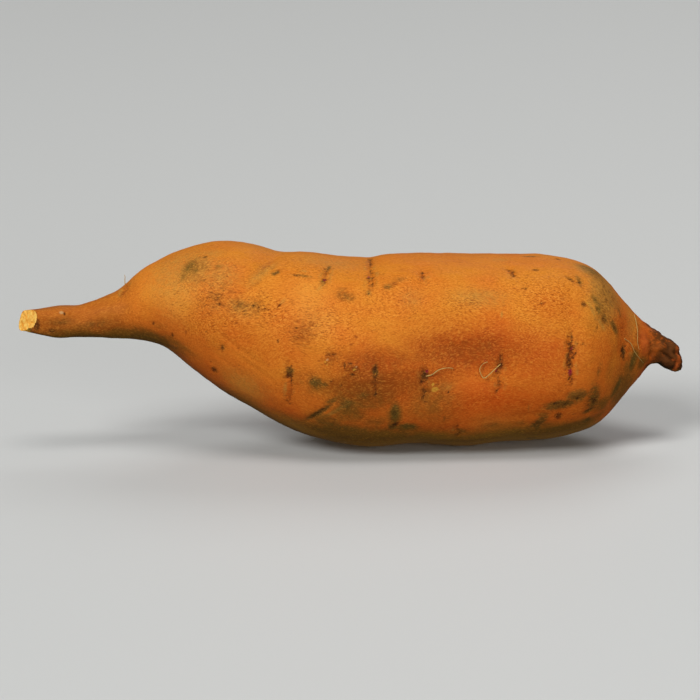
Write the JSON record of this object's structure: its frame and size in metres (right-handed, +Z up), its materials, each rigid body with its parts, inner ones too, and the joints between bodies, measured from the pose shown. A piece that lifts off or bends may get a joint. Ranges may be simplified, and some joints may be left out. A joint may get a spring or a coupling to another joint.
{
  "type": "sweet potato",
  "caption": "Whole raw sweet potato lying on its belly, with a cut vine neck at one end and a short hooked tail root at the other.",
  "frame": {"origin": "under the middle of the root's box, on the surface that it rests on", "axes": "+X along the root towards its tail, +Z up; -Y faces the side seen from the front"},
  "size_m": [0.2204, 0.0672, 0.0681],
  "materials": {
    "skin": "satin"
  },
  "bodies": {
    "root": {"sweet_potato": "skin"}
  },
  "joints": []
}
